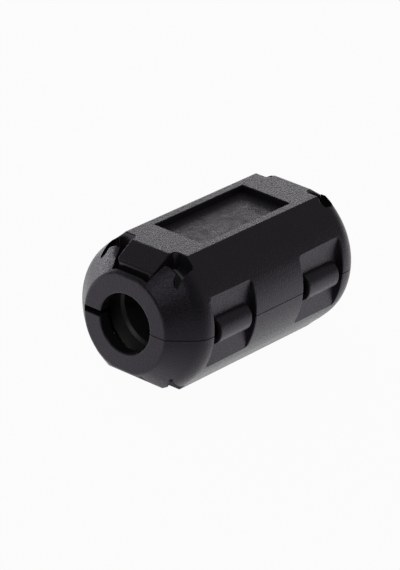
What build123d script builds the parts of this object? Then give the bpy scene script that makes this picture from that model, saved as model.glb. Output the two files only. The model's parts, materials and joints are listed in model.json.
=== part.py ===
"""Clip-on ferrite bead: a hinged two-half plastic case that closes two ferrite half rings round a cable.

Frame in millimetres: Y runs along the cable bore, +X is the hinge side, -X the latch side and +Z is up.
The origin is at the middle of the flat bottom. Everything is drawn about the bore axis first and lifted last.
"""

import os
from math import acos, atan2, cos, degrees, hypot, pi, sin, sqrt, tan

from build123d import *

# Ferrite half rings
core_bore = 9.0
core_wall = 2.75
core_length = 25.0
core_chamfer = 0.35
core_clearance = 0.1

# Case walls, measured outwards from the ferrite
pocket_wall = 1.0
pocket_depth = 1.15
label_wall = 0.5
label_depth = 0.9
chamber_length = 3.5
chamber_wall = 1.2
end_wall = 1.5
seam_gap = 0.1

# Outside form of the case
top_flat_width = 9.5
side_taper_length = 3.3
side_taper_inset = 3.3
side_shoulder_radius = 3.0
corner_ease = 0.05
flat_taper_length = 4.0
flat_taper_inset = 2.6
flat_shoulder_radius = 0.6
lip_radius = 0.6

# Cable mouth in the end walls and the pry slot beside it
mouth_diameter = 7.6
mouth_chamfer = 0.1
pry_slot_height = 0.7

# Label recess in the flat of each half
label_margin = 5.15
label_rim = 1.09

# Spring tab, notch and corner holes at each end of each half
tab_width = 5.7
tab_length = 2.75
tab_corner_radius = 0.7
tab_nose_radius = 0.5
slot_width = 0.6
notch_strip = 0.4
notch_narrowing = 0.2
notch_floor_wall = 0.6
hole_width = 3.1
hole_back = 1.1
hole_corner_radius = 0.55
ear_reach = 1.35
ear_slot_width = 0.75
ear_slot_length = 0.65
ear_corner_share = 0.45

# Pockets on both long sides, for the hinge straps and the latch tongues
pocket_length = 7.8
pocket_margin = 1.15
pocket_corner_radius = 0.5

# Hinge straps
strap_length = 5.75
strap_half_height = 1.7
strap_thickness = 0.55

# Latch tongues on the lower half and their teeth on the upper half
tongue_length = 6.1
tongue_reach = 3.4
tongue_gap = 0.2
tongue_lead = 0.35
window_length = 3.6
window_bottom = 0.85
window_bar = 1.1
tooth_depth = 0.95
tooth_clearance = 0.15
tooth_land = 0.25

# Cutters run past the surface they open by this much
overrun = 1.0

# Sizes that follow from those above
bore_radius = core_bore / 2
core_radius = bore_radius + core_wall
cavity_radius = core_radius + core_clearance
pocket_floor = cavity_radius + pocket_wall
half_width = pocket_floor + pocket_depth
label_floor = cavity_radius + label_wall
half_height = label_floor + label_depth
core_end = core_length / 2
cavity_end = core_end + core_clearance
chamber_end = core_end + chamber_length
half_length = chamber_end + end_wall
taper_start = half_length - flat_taper_length
taper_slope = flat_taper_inset / flat_taper_length
taper_angle = atan2(flat_taper_inset, flat_taper_length)
half_flat = top_flat_width / 2
corner_reach = hypot(half_flat, half_height)
tangent_angle = atan2(half_height, half_flat) - acos(half_width / corner_reach)
chamfer_width = sqrt(corner_reach**2 - half_width**2)
corner_rise = corner_reach - half_width + lip_radius
corner_run = corner_rise * side_taper_length / side_taper_inset
pocket_place = taper_start - pocket_margin - pocket_length / 2
mouth_radius = mouth_diameter / 2
half_tab = tab_width / 2
half_gap = seam_gap / 2
notch_floor = mouth_radius + notch_floor_wall
notch_front = half_length - notch_strip
tab_tip = taper_start + tab_length
ear_corner_radius = ear_corner_share * min(ear_slot_width, ear_slot_length)
window_top = tongue_reach - window_bar
tooth_top = window_top - tooth_clearance


def both_ends(shape):
    """A shape at the -Y end and its mirror image at the +Y end."""
    return shape + mirror(shape, about=Plane.XZ)


def case_section():
    """Face across the bore: round sides, flat top and bottom, and chamfers tangent to the sides."""
    x = half_width * cos(tangent_angle)
    z = half_width * sin(tangent_angle)
    right = ThreePointArc((x, -z), (half_width, 0), (x, z))
    left = ThreePointArc((-x, z), (-half_width, 0), (-x, -z))
    top = Polyline((x, z), (half_flat, half_height), (-half_flat, half_height), (-x, z))
    bottom = Polyline((-x, -z), (-half_flat, -half_height), (half_flat, -half_height), (x, -z))
    return make_face([right, top, left, bottom])


def taper_waste(distance, turn, length, inset, shoulder_radius):
    """Waste beside the -Y end for a surface at a distance from the bore, facing up by an angle from +X.

    Its inner edge is the tapered end's true outline: a rounded shoulder, the slope and a rounded lip.
    """
    angle = atan2(inset, length)
    start = half_length - length
    foot = distance - inset
    lead = shoulder_radius * tan(angle / 2)
    lip = lip_radius * tan((pi / 2 - angle) / 2)
    inwards = -sin(angle)
    onwards = -cos(angle)
    begin = (distance, lead - start)
    bend = (distance + lead * inwards, lead * onwards - start)
    edge = (foot - lip * inwards, -half_length - lip * onwards)
    end = (foot - lip, -half_length)
    shoulder = TangentArc(begin, bend, tangent=(0, -1))
    slope = Line(bend, edge)
    rounding = TangentArc(edge, end, tangent=(inwards, onwards))
    outside = Polyline(
        end,
        (foot - lip, -half_length - overrun),
        (distance + overrun, -half_length - overrun),
        (distance + overrun, lead - start),
        begin,
    )
    return Rot(0, -degrees(turn), 0) * make_face([shoulder, slope, rounding, outside])


def side_waste(turn):
    """Waste at the -Y end of a round side or its chamfers, at an angle from +X."""
    return taper_waste(half_width, turn, side_taper_length, side_taper_inset, side_shoulder_radius)


def corner_waste():
    """Waste round the -Y end that turns the corners between chamfers and flats into a cone."""
    reach = half_width + corner_ease + corner_rise
    length = side_taper_length + corner_run
    inset = side_taper_inset + corner_rise
    return revolve(taper_waste(reach, 0, length, inset, flat_shoulder_radius), Axis.Y)


def case_body():
    """Solid outside form of the closed case: a barrel whose sides, chamfers and flats taper at both ends."""
    barrel = extrude(Plane.XZ * case_section(), half_length, both=True)
    side = revolve(side_waste(-tangent_angle), Axis.Y, revolution_arc=-2 * degrees(tangent_angle))
    along = (-sin(tangent_angle), 0, cos(tangent_angle))
    chamfer = extrude(side_waste(tangent_angle), chamfer_width + overrun, dir=along)
    side += chamfer + mirror(chamfer, about=Plane.XY)
    middle = taper_waste(half_height, pi / 2, flat_taper_length, flat_taper_inset, flat_shoulder_radius)
    flat = extrude(middle, half_flat + overrun, dir=(1, 0, 0), both=True)
    body = barrel - both_ends(side) - both_ends(mirror(side, about=Plane.YZ))
    body -= both_ends(flat) + both_ends(mirror(flat, about=Plane.XY))
    return body - both_ends(corner_waste())


def cavity():
    """Room for the ferrite, the hollow end chambers and the cable mouths, turned about the bore."""
    outer_at_end = half_height - taper_slope * (chamber_end - taper_start)
    chamber_radius = outer_at_end - chamber_wall
    outline = Polyline(
        (0, 0),
        (cavity_radius, 0),
        (cavity_radius, cavity_end),
        (chamber_radius, chamber_end),
        (mouth_radius, chamber_end),
        (mouth_radius, half_length - mouth_chamfer),
        (mouth_radius + mouth_chamfer + overrun, half_length + overrun),
        (0, half_length + overrun),
        close=True,
    )
    half = revolve(make_face(outline), Axis.Y)
    return half + mirror(half, about=Plane.XZ)


def hole_plan():
    """Plan of the corner hole beside a spring tab: it runs on past the ear as a slot along its outer edge."""
    back = hole_back - taper_start
    ear = -taper_start - ear_reach
    tip = ear - ear_slot_length
    outer = half_tab + hole_width
    inner = outer - ear_slot_width
    hole = make_face(
        Polyline(
            (half_tab, back),
            (outer, back),
            (outer, tip),
            (inner, tip),
            (inner, ear),
            (half_tab, ear),
            close=True,
        )
    )
    hole = fillet(hole.vertices().group_by(Axis.Y)[-1], hole_corner_radius)
    rims = hole.vertices().group_by(Axis.Y)
    return fillet(rims[0] + rims[1].sort_by(Axis.X)[-1:], ear_corner_radius)


def tab_plan():
    """Plan of the cut that frees one spring tab: notch, side slots and corner holes, less the tab."""
    ear = -taper_start - ear_reach
    notch = make_face(
        Polyline(
            (half_tab + slot_width, -taper_start),
            (half_tab + slot_width, ear),
            (half_tab - notch_narrowing, -notch_front),
            (notch_narrowing - half_tab, -notch_front),
            (-half_tab - slot_width, ear),
            (-half_tab - slot_width, -taper_start),
            close=True,
        )
    )
    tab = Rectangle(tab_width, tab_tip - taper_start + hole_back, align=(Align.CENTER, Align.MIN))
    tab = fillet(tab.vertices().group_by(Axis.Y)[0], tab_corner_radius)
    hole = hole_plan()
    return notch + hole + mirror(hole, about=Plane.YZ) - Pos(0, -tab_tip) * tab


def nose_waste():
    """What rounds the outer edge of one spring tab's tip."""
    run = tab_nose_radius * tan((pi / 2 - taper_angle) / 2)
    tip_height = half_height - taper_slope * tab_length
    begin = (run * cos(taper_angle) - tab_tip, tip_height + run * sin(taper_angle))
    end = (-tab_tip, tip_height - run)
    rounding = TangentArc(begin, end, tangent=(-cos(taper_angle), -sin(taper_angle)))
    outside = Polyline(
        end,
        (-tab_tip - slot_width, tip_height - run),
        (-tab_tip - slot_width, tip_height + overrun),
        (run * cos(taper_angle) - tab_tip, tip_height + overrun),
        begin,
    )
    return extrude(Plane.YZ * make_face([rounding, outside]), half_tab, both=True)


def flat_side_cutters():
    """Cuts in the flat of the upper half: label recess and the openings round both spring tabs."""
    label_width = top_flat_width - label_rim - label_rim
    label = Pos(0, 0, label_floor) * Box(
        label_width,
        2 * (taper_start - label_margin),
        label_depth + overrun,
        align=(Align.CENTER, Align.CENTER, Align.MIN),
    )
    openings = extrude(Pos(0, 0, notch_floor) * tab_plan(), half_height - notch_floor + overrun)
    return label + both_ends(openings + nose_waste())


def pocket_cutters():
    """Shallow pockets on the hinge side, which run out where the round side meets their floor."""
    run_out = 2 * sqrt(half_width**2 - pocket_floor**2)
    face = Plane.YZ.offset(pocket_floor) * RectangleRounded(pocket_length, run_out, pocket_corner_radius)
    pocket = Pos(0, -pocket_place, 0) * extrude(face, pocket_depth + overrun)
    return both_ends(pocket)


def pry_slots():
    """Slot through each end wall from the mouth to the latch side, astride the seam."""
    reach = half_width - side_taper_inset
    slot = Pos(-reach, -half_length - overrun, 0) * Box(
        reach - mouth_radius / 2,
        end_wall + overrun,
        pry_slot_height,
        align=(Align.MIN, Align.MIN, Align.CENTER),
    )
    return both_ends(slot)


def closed_case():
    """Both shells as one hollow body, before they are parted at the seam."""
    case = case_body() - cavity()
    flats = flat_side_cutters()
    pockets = pocket_cutters()
    case -= flats + mirror(flats, about=Plane.XY)
    case -= pockets + mirror(pockets, about=Plane.YZ)
    case -= pry_slots()
    return case


def latch_tongue():
    """Spring tongue that rises from the lower half's pocket, with a window for the tooth."""
    run_out = sqrt(half_width**2 - pocket_floor**2)
    low = atan2(run_out, pocket_floor) / 2
    inner = pocket_floor + tongue_gap
    side = ThreePointArc(
        (-pocket_floor, -run_out),
        (-half_width * cos(low), -half_width * sin(low)),
        (-half_width, 0),
    )
    rest = Polyline(
        (-half_width, 0),
        (-half_width, tongue_reach),
        (-inner - tongue_lead, tongue_reach),
        (-inner, tongue_reach - tongue_lead),
        (-inner, -half_gap),
        (-pocket_floor, -half_gap - tongue_gap),
        (-pocket_floor, -run_out),
    )
    tongue = extrude(Plane.XZ * make_face([side, rest]), tongue_length / 2, both=True)
    window = Pos(-half_width - overrun, 0, window_bottom) * Box(
        pocket_depth + overrun,
        window_length,
        window_top - window_bottom,
        align=(Align.MIN, Align.CENTER, Align.MIN),
    )
    return both_ends(Pos(0, -pocket_place, 0) * (tongue - window))


def latch_tooth():
    """Ramped tooth on the floor of the upper half's pocket, which stands in the tongue's window."""
    outer = pocket_floor + tooth_depth
    bottom = window_bottom + tooth_clearance
    face = make_face(
        Polyline(
            (-pocket_floor, bottom),
            (-outer, tooth_top - tooth_land),
            (-outer, tooth_top),
            (-pocket_floor, tooth_top),
            close=True,
        )
    )
    half_tooth = window_length / 2 - tooth_clearance
    tooth = extrude(Plane.XZ * face, half_tooth, both=True)
    return both_ends(Pos(0, -pocket_place, 0) * tooth)


def hinge_strap(side):
    """One arched strap that bridges the seam on the hinge side, at the -Y or +Y pocket."""
    bulge = half_width - pocket_floor
    outer = Ellipse(bulge, strap_half_height)
    inner = Ellipse(bulge - strap_thickness, strap_half_height - strap_thickness)
    ahead = Rectangle(bulge, strap_half_height * 2, align=(Align.MIN, Align.CENTER))
    arch = (outer - inner) & ahead
    strap = extrude(Plane.XZ * Pos(pocket_floor, 0) * arch, strap_length / 2, both=True)
    return Pos(0, side * pocket_place, 0) * strap


def core_ring():
    """Whole ferrite ring about the bore, its four rims chamfered."""
    outline = Polyline(
        (bore_radius, 0),
        (core_radius, 0),
        (core_radius, core_end - core_chamfer),
        (core_radius - core_chamfer, core_end),
        (bore_radius + core_chamfer, core_end),
        (bore_radius, core_end - core_chamfer),
        close=True,
    )
    half = revolve(make_face(outline), Axis.Y)
    return half + mirror(half, about=Plane.XZ)


def upper_of(shape, gap):
    """The part of a shape above the seam, less the gap left there."""
    return split(shape, Plane.XY.offset(gap), keep=Keep.TOP)


def lower_of(shape, gap):
    """The part of a shape below the seam, less the gap left there."""
    return split(shape, Plane.XY.offset(-gap), keep=Keep.BOTTOM)


def build_nodes():
    """Every piece of the bead by name, about the bore axis."""
    case = closed_case()
    ring = core_ring()
    return {
        "lower_shell": lower_of(case, half_gap) + latch_tongue(),
        "upper_shell": upper_of(case, half_gap) + latch_tooth(),
        "hinge_strap_front": hinge_strap(-1),
        "hinge_strap_rear": hinge_strap(1),
        "lower_core": lower_of(ring, 0),
        "upper_core": upper_of(ring, 0),
    }


os.makedirs("parts", exist_ok=True)
for name, shape in build_nodes().items():
    export_step(Pos(0, 0, half_height) * shape, f"parts/{name}.step")
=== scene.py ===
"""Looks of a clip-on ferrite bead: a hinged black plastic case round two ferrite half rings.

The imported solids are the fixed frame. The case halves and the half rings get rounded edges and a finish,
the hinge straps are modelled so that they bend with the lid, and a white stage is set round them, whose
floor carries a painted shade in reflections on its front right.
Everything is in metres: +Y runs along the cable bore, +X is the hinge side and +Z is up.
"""

import contextlib
import json
import math

import bmesh
import bpy
from mathutils import Matrix, Vector
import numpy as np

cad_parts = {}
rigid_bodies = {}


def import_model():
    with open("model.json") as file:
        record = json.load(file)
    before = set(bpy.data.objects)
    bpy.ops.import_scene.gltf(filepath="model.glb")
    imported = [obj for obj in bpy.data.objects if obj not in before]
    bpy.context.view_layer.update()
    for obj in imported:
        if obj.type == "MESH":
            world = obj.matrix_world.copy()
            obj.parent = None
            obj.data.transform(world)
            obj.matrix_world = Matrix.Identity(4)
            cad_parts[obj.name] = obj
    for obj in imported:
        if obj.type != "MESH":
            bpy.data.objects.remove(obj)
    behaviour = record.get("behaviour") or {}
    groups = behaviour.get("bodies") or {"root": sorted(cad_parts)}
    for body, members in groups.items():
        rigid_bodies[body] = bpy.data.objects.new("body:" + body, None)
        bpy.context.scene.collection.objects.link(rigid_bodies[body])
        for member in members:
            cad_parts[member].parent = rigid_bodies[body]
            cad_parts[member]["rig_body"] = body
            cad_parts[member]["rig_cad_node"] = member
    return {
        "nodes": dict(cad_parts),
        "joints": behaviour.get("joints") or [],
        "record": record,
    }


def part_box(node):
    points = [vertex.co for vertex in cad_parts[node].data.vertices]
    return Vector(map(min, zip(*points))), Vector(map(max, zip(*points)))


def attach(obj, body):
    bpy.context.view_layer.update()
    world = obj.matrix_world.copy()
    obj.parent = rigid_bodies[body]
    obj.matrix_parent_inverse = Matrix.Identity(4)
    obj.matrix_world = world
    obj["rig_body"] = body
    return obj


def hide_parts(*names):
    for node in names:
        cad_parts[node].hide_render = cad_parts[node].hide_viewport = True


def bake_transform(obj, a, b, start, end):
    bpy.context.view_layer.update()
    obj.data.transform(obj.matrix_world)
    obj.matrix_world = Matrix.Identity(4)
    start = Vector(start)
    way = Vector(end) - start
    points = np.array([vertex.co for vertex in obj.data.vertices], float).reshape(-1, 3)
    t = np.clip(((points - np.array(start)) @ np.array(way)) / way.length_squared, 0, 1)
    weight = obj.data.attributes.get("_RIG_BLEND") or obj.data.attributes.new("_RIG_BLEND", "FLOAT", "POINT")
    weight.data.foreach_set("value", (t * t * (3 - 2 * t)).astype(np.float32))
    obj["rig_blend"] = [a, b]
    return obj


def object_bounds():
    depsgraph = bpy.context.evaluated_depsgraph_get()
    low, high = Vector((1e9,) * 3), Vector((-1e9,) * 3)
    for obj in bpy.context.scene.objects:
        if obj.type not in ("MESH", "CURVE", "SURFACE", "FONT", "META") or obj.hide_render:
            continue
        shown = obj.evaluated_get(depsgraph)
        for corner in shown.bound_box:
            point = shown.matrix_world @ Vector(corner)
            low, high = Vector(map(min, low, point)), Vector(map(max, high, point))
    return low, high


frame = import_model()
cad_low, cad_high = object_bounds()

bl_info = {
    "name": "Clip-on ferrite bead",
    "version": (1, 0, 0),
    "blender": (4, 5, 0),
    "location": "3D View > Sidebar > Ferrite bead",
    "description": "Finishes the case, hinge straps and ferrite of a clip-on bead and sets a stage round it",
    "category": "Object",
}

HINGE = frame["joints"][0]
SEAM_HEIGHT = HINGE["pos_m"][2]
SHELL_NODES = ("lower_shell", "upper_shell")
STRAP_NODES = ("hinge_strap_front", "hinge_strap_rear")
CORE_NODES = ("lower_core", "upper_core")
SLOT_COLOURS = {m["slot"]: tuple(m["base_color"]) for m in frame["record"]["materials"]}
GRAIN_ATTRIBUTE = "grained"
MATT_ATTRIBUTE = "matted"

# Points closer than this are one, and neighbouring faces that turn less than this are one
MERGE_DISTANCE = 0.00001
FLAT_ANGLE = math.radians(0.5)
# Edges are rounded if they turn more than the sharp angle, but not thin ones past the feather angle
SHARP_ANGLE = math.radians(33)
FEATHER_ANGLE = math.radians(100)
ROUNDING_STEPS = 3
SMOOTH_ANGLE = math.radians(36)
# A point this near an end face, the seam or a cut counts as lying on it
END_SKIN = 0.0003
SEAM_SKIN = 0.0001
CUT_SKIN = 1e-7
# Shares of a face's normal along a direction, from which the face counts as square, level, sloped or outward
SQUARE_SHARE = 0.9
LEVEL_SHARE = 0.95
SLOPED_SHARE = 0.2
OUTWARD_SHARE = 0.3
# Depths below the flat between which a level face is the floor of the label recess
RECESS_DEPTHS = (0.0002, 0.002)

# Darkest and lightest clouds in a material, as shares of its colour
PLASTIC_SHADE_SHARES = (0.8, 1.25)
FERRITE_SHADE_SHARES = (0.6, 1.1)
PLASTIC_IOR = 1.53
PLASTIC_SHEEN_TINT = (0.91, 0.78, 1.0, 1.0)
# Span of the scuff noise over which the label floor goes from not dulled to fully dulled
SCUFF_SPAN = (0.3, 0.7)
FERRITE_IOR = 1.9
FERRITE_BUMP_SHARE = 0.5
GROUND_ROUGHNESS = (0.34, 0.58)

WHITE = (1.0, 1.0, 1.0, 1.0)
# How white the floor and the surroundings look to the eye
EYE_SHARE = 0.96
FLOOR_SIZE = 8.0
FLOOR_ROUGHNESS = 0.9
# Painted shade: reflections see the floor's glow bright under the bead and dimmed from this far out on its
# front right, standing in for the bead's shadow on the floor
PAINTED_SHADE_SIDE = (0.75, -0.66, 0.0)
PAINTED_SHADE_REACH = (0.010, 0.034)
PAINTED_SHADE_MIRROR_SHARES = (0.9, 0.17)
# The surroundings fade out towards the front
FRONT = (0.61, -0.75, 0.25)
FRONT_SPAN = (0.2, 0.85)
SURROUND_STRENGTHS = (0.18, 0.0)
# Place from the middle of the bore, then width and height
LAMPS = {
    "key": ((-0.36, 0.44, 0.15), (0.50, 0.16)),
    "left": ((-0.60, 0.12, 0.11), (0.40, 0.18)),
    "front": ((0.20, -0.40, 0.42), (0.22, 0.22)),
}
SENSOR_WIDTH = 36.0
CLIP_RANGE = (0.01, 20.0)


class BeadCaseProperties(bpy.types.PropertyGroup):
    """Moulded plastic of the case and its straps."""

    colour: bpy.props.FloatVectorProperty(
        name="Plastic colour",
        description="Colour of the black nylon",
        subtype="COLOR",
        size=3,
        min=0.0,
        max=1.0,
        default=SLOT_COLOURS["case_plastic"],
    )
    edge_round: bpy.props.FloatProperty(
        name="Edge rounding",
        description="Width of the rounding on the moulded edges",
        default=0.00012,
        min=0.0,
        precision=5,
        unit="LENGTH",
    )
    rim_round: bpy.props.FloatProperty(
        name="Rim rounding",
        description="Width of the fuller rounding where the end faces meet the tapers",
        default=0.0004,
        min=0.0,
        precision=5,
        unit="LENGTH",
    )
    grain_size: bpy.props.FloatProperty(
        name="Grain size",
        description="Size of one bump of the spark-eroded grain",
        default=0.0002,
        min=0.00001,
        precision=5,
        unit="LENGTH",
    )
    grain_depth: bpy.props.FloatProperty(
        name="Grain depth",
        description="Height of the grain",
        default=0.00004,
        min=0.0,
        precision=6,
        unit="LENGTH",
    )
    cloud_size: bpy.props.FloatProperty(
        name="Cloud size",
        description="Size of the faint clouds in the colour",
        default=0.0035,
        min=0.0001,
        precision=5,
        unit="LENGTH",
    )
    scuff_size: bpy.props.FloatProperty(
        name="Scuff size",
        description="Size of the dull patches on the floor of the label recess",
        default=0.0012,
        min=0.0001,
        precision=5,
        unit="LENGTH",
    )
    roughness: bpy.props.FloatProperty(
        name="Roughness",
        description="Mean roughness of the plastic",
        subtype="FACTOR",
        default=0.3,
        min=0.0,
        max=1.0,
    )
    grain_contrast: bpy.props.FloatProperty(
        name="Grain contrast",
        description="How far the roughness goes up and down with the grain",
        subtype="FACTOR",
        default=0.2,
        min=0.0,
        max=1.0,
    )
    label_dulling: bpy.props.FloatProperty(
        name="Label dulling",
        description="How much rougher the floor of the label recess is",
        subtype="FACTOR",
        default=0.13,
        min=0.0,
        max=1.0,
    )
    inner_roughness: bpy.props.FloatProperty(
        name="Inner roughness",
        description="Roughness of the smooth plastic in the holes and gaps",
        subtype="FACTOR",
        default=0.18,
        min=0.0,
        max=1.0,
    )


class BeadStrapProperties(bpy.types.PropertyGroup):
    """Arched living hinges across the seam."""

    thickness: bpy.props.FloatProperty(
        name="Thickness",
        description="Thickness of the arched band",
        default=0.00055,
        min=0.0001,
        precision=5,
        unit="LENGTH",
    )
    fullness: bpy.props.FloatProperty(
        name="Fullness",
        description="How far the middle of the arch stands out from the side of the case",
        default=0.0002,
        precision=5,
        unit="LENGTH",
    )
    segments: bpy.props.IntProperty(
        name="Segments",
        description="Steps round the whole ellipse that the arch is half of",
        default=64,
        min=16,
    )


class BeadCoreProperties(bpy.types.PropertyGroup):
    """Ferrite half rings."""

    colour: bpy.props.FloatVectorProperty(
        name="Ferrite colour",
        description="Colour of the sintered ferrite",
        subtype="COLOR",
        size=3,
        min=0.0,
        max=1.0,
        default=SLOT_COLOURS["ferrite"],
    )
    edge_round: bpy.props.FloatProperty(
        name="Edge rounding",
        description="Width of the tumbled edges",
        default=0.0001,
        min=0.0,
        precision=5,
        unit="LENGTH",
    )
    grain_size: bpy.props.FloatProperty(
        name="Grain size",
        description="Size of the pores",
        default=0.00015,
        min=0.00001,
        precision=5,
        unit="LENGTH",
    )
    grain_depth: bpy.props.FloatProperty(
        name="Grain depth",
        description="Depth of the pores",
        default=0.00002,
        min=0.0,
        precision=6,
        unit="LENGTH",
    )
    cloud_size: bpy.props.FloatProperty(
        name="Cloud size",
        description="Size of the clouds in the colour",
        default=0.002,
        min=0.0001,
        precision=5,
        unit="LENGTH",
    )
    raw_roughness: bpy.props.FloatProperty(
        name="Raw roughness",
        description="Roughness of the raw ends",
        subtype="FACTOR",
        default=0.95,
        min=0.0,
        max=1.0,
    )


class BeadStageProperties(bpy.types.PropertyGroup):
    """Floor, lamps and camera."""

    floor_colour: bpy.props.FloatVectorProperty(
        name="Floor colour",
        description="Colour of the floor",
        subtype="COLOR",
        size=3,
        min=0.0,
        max=1.0,
        default=(0.86, 0.86, 0.86),
    )
    key_power: bpy.props.FloatProperty(
        name="Key power",
        description="Power of the wide, low lamp behind and to the left",
        subtype="POWER",
        default=0.54,
        min=0.0,
    )
    left_power: bpy.props.FloatProperty(
        name="Left power",
        description="Power of the low lamp to the left",
        subtype="POWER",
        default=0.84,
        min=0.0,
    )
    front_power: bpy.props.FloatProperty(
        name="Front power",
        description="Power of the weak lamp in front, above the camera's line of sight",
        subtype="POWER",
        default=0.24,
        min=0.0,
    )
    azimuth: bpy.props.FloatProperty(
        name="Camera azimuth",
        description="Angle of the camera round the bead, from looking along +Y towards looking along -X",
        subtype="ANGLE",
        default=math.radians(37.68),
    )
    elevation: bpy.props.FloatProperty(
        name="Camera elevation",
        description="Angle of the camera above the horizon",
        subtype="ANGLE",
        default=math.radians(25.422),
    )
    roll: bpy.props.FloatProperty(
        name="Camera roll",
        description="Turn of the camera about its line of sight",
        subtype="ANGLE",
        default=math.radians(3.79),
    )
    distance: bpy.props.FloatProperty(
        name="Camera distance",
        description="Distance of the camera from the middle of the bore",
        default=0.45707,
        unit="LENGTH",
    )
    lens: bpy.props.FloatProperty(
        name="Lens",
        description="Focal length on a sensor of 36 mm along the long side of the frame",
        default=239.565,
        unit="CAMERA",
    )
    aside: bpy.props.FloatVectorProperty(
        name="Camera offset",
        description="Shift of the camera right and up, which sets the bead off the middle of the frame",
        size=2,
        default=(-0.002202, -0.000653),
        unit="LENGTH",
    )


def pick_only(piece):
    """Makes one object the only selected and active one."""
    bpy.ops.object.select_all(action="DESELECT")
    piece.select_set(True)
    bpy.context.view_layer.objects.active = piece


def finish_with(piece, kind, **settings):
    """Adds one modifier with its settings and applies it."""
    pick_only(piece)
    modifier = piece.modifiers.new(kind.title(), kind)
    for name, value in settings.items():
        setattr(modifier, name, value)
    bpy.ops.object.modifier_apply(modifier=modifier.name)


@contextlib.contextmanager
def edited(piece):
    """The mesh of a piece, open for edits that are then written back."""
    mesh = bmesh.new()
    mesh.from_mesh(piece.data)
    yield mesh
    mesh.to_mesh(piece.data)
    mesh.free()


def give_material(piece, material):
    """Makes one material the whole finish of a piece."""
    piece.data.materials.clear()
    piece.data.materials.append(material)


def node_adder(tree):
    """Function that adds a node to a tree, with its settings and a value or a link for each input given."""

    def add(kind, inputs=None, **settings):
        node = tree.nodes.new(kind)
        for key, value in settings.items():
            setattr(node, key, value)
        for key, value in (inputs or {}).items():
            if isinstance(value, bpy.types.NodeSocket):
                tree.links.new(value, node.inputs[key])
            else:
                node.inputs[key].default_value = value
        return node

    return add


def new_material(name):
    """Node material with its principled shader, a function that adds nodes to it, and its links."""
    material = bpy.data.materials.new(name)
    material.use_nodes = True
    tree = material.node_tree
    return material, tree.nodes["Principled BSDF"], node_adder(tree), tree.links


def shaded(add, factor, colour, shares):
    """Colour that runs with a factor between two shades of it."""
    dark, light = ((*(channel * share for channel in colour), 1.0) for share in shares)
    return add("ShaderNodeMix", data_type="RGBA", inputs={0: factor, 6: dark, 7: light}).outputs[2]


def mixed_value(add, factor, first, second):
    """Number that goes from a first to a second one with a factor."""
    return add("ShaderNodeMix", inputs={0: factor, 2: first, 3: second}).outputs[0]


def value_range(add, factor, low, high, start=0.0, stop=1.0):
    """Number that runs from low to high while a factor runs from start to stop."""
    return add("ShaderNodeMapRange", inputs={0: factor, 1: start, 2: stop, 3: low, 4: high}).outputs[0]


def maths(add, operation, *values):
    """Result of one sum with its values."""
    return add("ShaderNodeMath", operation=operation, inputs=dict(enumerate(values))).outputs[0]


def along(add, place, direction):
    """How far a place lies in a direction."""
    product = add("ShaderNodeVectorMath", operation="DOT_PRODUCT", inputs={0: place, 1: direction})
    return product.outputs["Value"]


def face_mark(add, name):
    """What the faces carry under a name."""
    return add("ShaderNodeAttribute", attribute_name=name).outputs["Fac"]


def noise(add, place, size, detail, rough=0.5):
    """Noise whose lumps are about a size across."""
    return add(
        "ShaderNodeTexNoise",
        inputs={"Vector": place, "Scale": 1 / size, "Detail": detail, "Roughness": rough},
    ).outputs[0]


def case_plastic():
    """Matte black nylon, grained by spark erosion where it shows and smooth in the holes and gaps."""
    case = bpy.context.scene.bead_case
    material, shader, add, links = new_material("case_plastic_grained")
    place = add("ShaderNodeTexCoord").outputs["Object"]
    grain = noise(add, place, case.grain_size, detail=3.0, rough=0.6)
    clouds = noise(add, place, case.cloud_size, detail=4.0)
    scuffs = noise(add, place, case.scuff_size, detail=5.0, rough=0.65)
    grained = face_mark(add, GRAIN_ATTRIBUTE)
    low, high = case.roughness - case.grain_contrast, case.roughness + case.grain_contrast
    rough = mixed_value(add, grained, case.inner_roughness, value_range(add, grain, low, high))
    patches = value_range(add, scuffs, 0.0, 2 * case.label_dulling, *SCUFF_SPAN)
    dulled = maths(add, "MULTIPLY_ADD", face_mark(add, MATT_ATTRIBUTE), patches, rough)
    bump = add("ShaderNodeBump", inputs={"Strength": grained, "Distance": case.grain_depth, "Height": grain})
    links.new(shaded(add, clouds, case.colour, PLASTIC_SHADE_SHARES), shader.inputs["Base Color"])
    links.new(dulled, shader.inputs["Roughness"])
    links.new(bump.outputs[0], shader.inputs["Normal"])
    shader.inputs["IOR"].default_value = PLASTIC_IOR
    shader.inputs["Specular Tint"].default_value = PLASTIC_SHEEN_TINT
    return material


def ferrite():
    """Sintered ferrite: dark grey ceramic with pores, a sheen on the ground faces and dull raw ends."""
    core = bpy.context.scene.bead_core
    material, shader, add, links = new_material("ferrite_sintered")
    place = add("ShaderNodeTexCoord").outputs["Object"]
    pores = noise(add, place, core.grain_size, detail=4.0, rough=0.65)
    clouds = noise(add, place, core.cloud_size, detail=3.0)
    sheen = value_range(add, pores, *GROUND_ROUGHNESS)
    rough = mixed_value(add, face_mark(add, MATT_ATTRIBUTE), sheen, core.raw_roughness)
    bump = add(
        "ShaderNodeBump",
        inputs={"Strength": FERRITE_BUMP_SHARE, "Distance": core.grain_depth, "Height": pores},
    )
    links.new(shaded(add, clouds, core.colour, FERRITE_SHADE_SHARES), shader.inputs["Base Color"])
    links.new(rough, shader.inputs["Roughness"])
    links.new(bump.outputs[0], shader.inputs["Normal"])
    shader.inputs["IOR"].default_value = FERRITE_IOR
    return material


def material_once(make):
    """The material that a function makes, made only the first time."""
    known = bpy.context.scene.get("bead_materials", {})
    if make.__name__ in known:
        return bpy.data.materials[known[make.__name__]]
    material = make()
    bpy.context.scene["bead_materials"] = {**dict(known), make.__name__: material.name}
    return material


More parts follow.
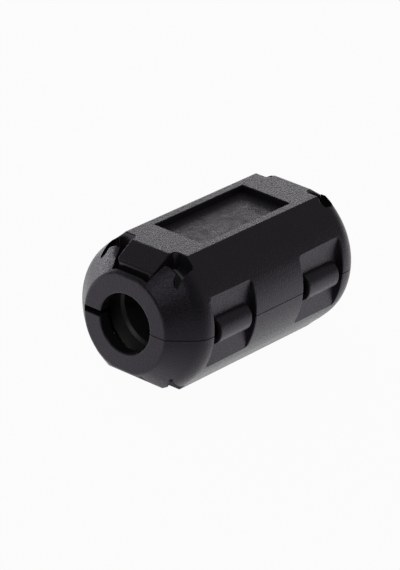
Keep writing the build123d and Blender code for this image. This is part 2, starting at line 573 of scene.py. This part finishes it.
def merged_copy(node_name, piece_name):
    """Copy of a CAD node as one closed mesh with plain faces, in place of the node."""
    node = frame["nodes"][node_name]
    pick_only(node)
    bpy.ops.object.duplicate()
    piece = bpy.context.active_object
    piece.name = piece_name
    piece.data.name = piece_name
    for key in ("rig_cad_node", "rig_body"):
        del piece[key]
    piece.parent = None
    bpy.ops.object.mode_set(mode="EDIT")
    bpy.ops.mesh.select_all(action="SELECT")
    bpy.ops.mesh.customdata_custom_splitnormals_clear()
    bpy.ops.mesh.remove_doubles(threshold=MERGE_DISTANCE)
    bpy.ops.mesh.dissolve_limited(angle_limit=FLAT_ANGLE)
    bpy.ops.object.mode_set(mode="OBJECT")
    return piece


def faces_outwards(face):
    """Whether a face belongs to the skin that shows: it looks away from the bore, or it is an end face."""
    middle = face.calc_center_median()
    away = Vector((middle.x, 0, middle.z - SEAM_HEIGHT)).normalized()
    at_end = abs(middle.y) > cad_high.y - END_SKIN and abs(face.normal.y) > SQUARE_SHARE
    return at_end or face.normal.dot(away) > OUTWARD_SHARE


def floors_a_recess(face):
    """Whether a face is the floor of a label recess: level, and a little below its flat."""
    depth = cad_high.z - SEAM_HEIGHT - abs(face.calc_center_median().z - SEAM_HEIGHT)
    level = abs(face.normal.z) > LEVEL_SHARE
    return level and RECESS_DEPTHS[0] < depth < RECESS_DEPTHS[1] and faces_outwards(face)


def is_raw_end(face):
    """Whether a face of a half ring is one of its raw ends."""
    return abs(face.normal.y) > SQUARE_SHARE


def mark_faces(piece, tests):
    """Stores on each face, under each name, whether the test of that name picks it."""
    with edited(piece) as mesh:
        layers = {name: mesh.faces.layers.float.new(name) for name in tests}
        for face in mesh.faces:
            for name, test in tests.items():
                face[layers[name]] = float(test(face))


def is_outer(edge):
    """Whether an edge is a sharp one that shows from outside."""
    sharp = edge.is_convex and SHARP_ANGLE < edge.calc_face_angle() < FEATHER_ANGLE
    return sharp and any(faces_outwards(face) for face in edge.link_faces)


def is_off_seam(edge):
    """Whether an outer edge lies off the seam, whose own edges stay crisp."""
    return is_outer(edge) and any(abs(vert.co.z - SEAM_HEIGHT) > SEAM_SKIN for vert in edge.verts)


def rims_an_end(edge):
    """Whether an edge lies where an end face meets the taper round it."""
    at_end = all(abs(vert.co.y) > cad_high.y - END_SKIN for vert in edge.verts)
    if not (at_end and is_outer(edge) and all(faces_outwards(face) for face in edge.link_faces)):
        return False
    steepness = sorted(abs(face.normal.y) for face in edge.link_faces)
    return SLOPED_SHARE < steepness[0] < SQUARE_SHARE < steepness[-1]


def round_where(piece, chosen, width):
    """Rounds those edges of a piece that a test picks."""
    with edited(piece) as mesh:
        layers = mesh.edges.layers.float
        weight = layers.get("bevel_weight_edge") or layers.new("bevel_weight_edge")
        for edge in mesh.edges:
            edge[weight] = float(chosen(edge))
    finish_with(
        piece,
        "BEVEL",
        width=width,
        segments=ROUNDING_STEPS,
        limit_method="WEIGHT",
        use_clamp_overlap=False,
        miter_outer="MITER_ARC",
    )


def round_edges(piece, width, rim_width=0.0):
    """Rounds a shell's end rims and then its edges off the seam, or all edges of a piece with no rims."""
    if rim_width:
        round_where(piece, rims_an_end, rim_width)
    round_where(piece, is_off_seam if rim_width else is_outer, width)
    pick_only(piece)
    bpy.ops.object.shade_smooth_by_angle(angle=SMOOTH_ANGLE)
    finish_with(piece, "WEIGHTED_NORMAL", keep_sharp=True)


def dress(piece, node_name, material):
    """Gives a piece its material and puts it in place of its node."""
    give_material(piece, material)
    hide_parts(node_name)


class BEAD_OT_case(bpy.types.Operator):
    """Finishes both halves of the case with rounded edges and grained plastic"""

    bl_idname = "bead.case"
    bl_label = "Case halves"

    def execute(self, context):
        case = context.scene.bead_case
        for node_name in SHELL_NODES:
            piece = merged_copy(node_name, node_name.replace("shell", "case_half"))
            mark_faces(piece, {GRAIN_ATTRIBUTE: faces_outwards, MATT_ATTRIBUTE: floors_a_recess})
            round_edges(piece, case.edge_round, case.rim_round)
            dress(piece, node_name, material_once(case_plastic))
            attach(piece, frame["nodes"][node_name]["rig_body"])
        return {"FINISHED"}


class BEAD_OT_cores(bpy.types.Operator):
    """Finishes both ferrite half rings with tumbled edges"""

    bl_idname = "bead.cores"
    bl_label = "Ferrite half rings"

    def execute(self, context):
        for node_name in CORE_NODES:
            piece = merged_copy(node_name, node_name.replace("core", "half_ring"))
            mark_faces(piece, {MATT_ATTRIBUTE: is_raw_end})
            round_edges(piece, context.scene.bead_core.edge_round)
            dress(piece, node_name, material_once(ferrite))
            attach(piece, frame["nodes"][node_name]["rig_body"])
        return {"FINISHED"}


class BEAD_OT_straps(bpy.types.Operator):
    """Models the arched hinge straps, which bend with the lid"""

    bl_idname = "bead.straps"
    bl_label = "Hinge straps"

    def execute(self, context):
        straps = context.scene.bead_straps
        for node_name in STRAP_NODES:
            low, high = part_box(node_name)
            bulge = high.x - low.x + straps.fullness
            piece = self.arch(node_name.replace("hinge_strap", "strap"), low, high, bulge, straps.segments)
            finish_with(piece, "SOLIDIFY", thickness=straps.thickness, offset=-1.0, use_even_offset=True)
            mark_faces(piece, {GRAIN_ATTRIBUTE: lambda face: True})
            round_edges(piece, context.scene.bead_case.edge_round)
            dress(piece, node_name, material_once(case_plastic))
            middle = (low + high) / 2
            start = (middle.x, middle.y, low.z)
            end = (middle.x, middle.y, high.z)
            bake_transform(piece, HINGE["parent"], HINGE["child"], start=start, end=end)
        return {"FINISHED"}

    def arch(self, name, low, high, bulge, segments):
        """Open sheet bent to half an ellipse that stands out from the pocket floor."""
        bpy.ops.object.select_all(action="DESELECT")
        bpy.ops.mesh.primitive_circle_add(vertices=segments, radius=1.0, rotation=(math.pi / 2, 0, 0))
        piece = bpy.context.active_object
        piece.name = name
        piece.data.name = name
        half_height = (high.z - low.z) / 2
        piece.scale = (bulge, half_height, 1.0)
        piece.location = (low.x, low.y, low.z + half_height)
        bpy.ops.object.transform_apply(location=True, rotation=True, scale=True)
        bpy.ops.object.mode_set(mode="EDIT")
        bpy.ops.mesh.select_all(action="SELECT")
        bpy.ops.mesh.bisect(
            plane_co=(low.x, 0, 0),
            plane_no=(-1, 0, 0),
            clear_outer=True,
            threshold=CUT_SKIN,
        )
        bpy.ops.mesh.select_all(action="SELECT")
        bpy.ops.mesh.extrude_region_move(TRANSFORM_OT_translate={"value": (0, high.y - low.y, 0)})
        bpy.ops.mesh.select_all(action="SELECT")
        bpy.ops.mesh.normals_make_consistent(inside=False)
        bpy.ops.object.mode_set(mode="OBJECT")
        return piece


class BEAD_OT_stage(bpy.types.Operator):
    """Sets a white floor, soft lamps and the camera round the bead"""

    bl_idname = "bead.stage"
    bl_label = "Stage"

    def execute(self, context):
        stage = context.scene.bead_stage
        middle = Vector((0, 0, SEAM_HEIGHT))
        self.floor(stage)
        for name, (offset, size) in LAMPS.items():
            self.lamp(f"{name}_lamp", middle, offset, size, getattr(stage, f"{name}_power"))
        self.camera(context.scene, stage, middle)
        self.surroundings(context.scene)
        context.scene.view_settings.view_transform = "Standard"
        return {"FINISHED"}

    def floor(self, stage):
        """Wide floor that is white to the eye, with a painted shade in the glow that reflections see towards
        the front right, standing in for the bead's shadow.
        """
        bpy.ops.object.select_all(action="DESELECT")
        bpy.ops.mesh.primitive_plane_add(size=FLOOR_SIZE)
        floor = bpy.context.active_object
        floor.name = "floor"
        material, shader, add, links = new_material("white_floor")
        shader.inputs["Base Color"].default_value = (*stage.floor_colour, 1.0)
        shader.inputs["Roughness"].default_value = FLOOR_ROUGHNESS
        rays = add("ShaderNodeLightPath").outputs
        # Painted shade: the glow that reflections see fades from under the bead towards its front right,
        # where it stands in for the bead's shadow on the floor
        ahead = along(add, add("ShaderNodeTexCoord").outputs["Object"], PAINTED_SHADE_SIDE)
        mirrored_with_painted_shade = maths(
            add,
            "MULTIPLY",
            maths(add, "MAXIMUM", rays["Is Glossy Ray"], rays["Is Transmission Ray"]),
            value_range(add, ahead, *PAINTED_SHADE_MIRROR_SHARES, *PAINTED_SHADE_REACH),
        )
        seen = maths(add, "MULTIPLY", rays["Is Camera Ray"], EYE_SHARE)
        share = maths(add, "MAXIMUM", mirrored_with_painted_shade, seen)
        white = add("ShaderNodeEmission", inputs={"Color": WHITE}).outputs[0]
        surface = add("ShaderNodeMixShader", inputs={0: share, 1: shader.outputs[0], 2: white}).outputs[0]
        output = next(node for node in material.node_tree.nodes if node.type == "OUTPUT_MATERIAL")
        links.new(surface, output.inputs["Surface"])
        give_material(floor, material)

    def lamp(self, name, middle, offset, size, power):
        """Soft lamp of a width and height that points at the bead."""
        data = bpy.data.lights.new(name, "AREA")
        data.shape = "RECTANGLE"
        data.size, data.size_y = size
        data.energy = power
        lamp = bpy.data.objects.new(name, data)
        bpy.context.scene.collection.objects.link(lamp)
        lamp.location = middle + Vector(offset)
        lamp.rotation_euler = (-Vector(offset)).to_track_quat("-Z", "Y").to_euler()

    def camera(self, scene, stage, middle):
        """Camera at the fitted viewing angle, with the bead off the middle of the frame."""
        data = bpy.data.cameras.new("camera")
        data.sensor_width = SENSOR_WIDTH
        data.lens = stage.lens
        data.clip_start, data.clip_end = CLIP_RANGE
        camera = bpy.data.objects.new("camera", data)
        scene.collection.objects.link(camera)
        out = math.cos(stage.elevation)
        back = Vector((
            math.sin(stage.azimuth) * out,
            -math.cos(stage.azimuth) * out,
            math.sin(stage.elevation),
        ))
        level = Vector((math.cos(stage.azimuth), math.sin(stage.azimuth), 0))
        upright = back.cross(level)
        right = math.cos(stage.roll) * level + math.sin(stage.roll) * upright
        up = math.cos(stage.roll) * upright - math.sin(stage.roll) * level
        place = middle + back * stage.distance + right * stage.aside[0] + up * stage.aside[1]
        turn = Matrix((right, up, back)).transposed()
        camera.matrix_world = Matrix.Translation(place) @ turn.to_4x4()
        scene.camera = camera

    def surroundings(self, scene):
        """Dim light from all round, which fades out in front of the bead, and is white to the eye."""
        world = bpy.data.worlds.new("studio")
        world.use_nodes = True
        tree = world.node_tree
        add = node_adder(tree)
        ahead = along(add, add("ShaderNodeTexCoord").outputs["Generated"], FRONT)
        fade = value_range(add, ahead, *SURROUND_STRENGTHS, *FRONT_SPAN)
        seen = maths(add, "MULTIPLY", add("ShaderNodeLightPath").outputs["Is Camera Ray"], EYE_SHARE)
        background = tree.nodes["Background"]
        background.inputs["Color"].default_value = WHITE
        tree.links.new(maths(add, "MAXIMUM", fade, seen), background.inputs["Strength"])
        scene.world = world


class BEAD_PT_panel(bpy.types.Panel):
    """Sidebar panel with the bead's pieces, sizes and colours"""

    bl_label = "Ferrite bead"
    bl_idname = "BEAD_PT_panel"
    bl_space_type = "VIEW_3D"
    bl_region_type = "UI"
    bl_category = "Ferrite bead"

    def draw(self, context):
        for group_name, (_, operator) in GROUPS.items():
            box = self.layout.box()
            group = getattr(context.scene, group_name)
            for prop in group.bl_rna.properties:
                if prop.identifier not in ("rna_type", "name"):
                    box.prop(group, prop.identifier)
            box.operator(operator.bl_idname)


GROUPS = {
    "bead_case": (BeadCaseProperties, BEAD_OT_case),
    "bead_straps": (BeadStrapProperties, BEAD_OT_straps),
    "bead_core": (BeadCoreProperties, BEAD_OT_cores),
    "bead_stage": (BeadStageProperties, BEAD_OT_stage),
}
CLASSES = (*(cls for pair in GROUPS.values() for cls in pair), BEAD_PT_panel)


def register():
    """Registers the classes and hangs each group of properties on the scene."""
    for cls in CLASSES:
        bpy.utils.register_class(cls)
    for name, (properties, _) in GROUPS.items():
        setattr(bpy.types.Scene, name, bpy.props.PointerProperty(type=properties))


def unregister():
    """Takes the groups of properties off the scene and unregisters the classes."""
    for name in GROUPS:
        delattr(bpy.types.Scene, name)
    for cls in reversed(CLASSES):
        bpy.utils.unregister_class(cls)


def main():
    """Builds every piece and the stage."""
    register()
    bpy.ops.bead.case()
    bpy.ops.bead.straps()
    bpy.ops.bead.cores()
    bpy.ops.bead.stage()


if __name__ == "__main__":
    main()
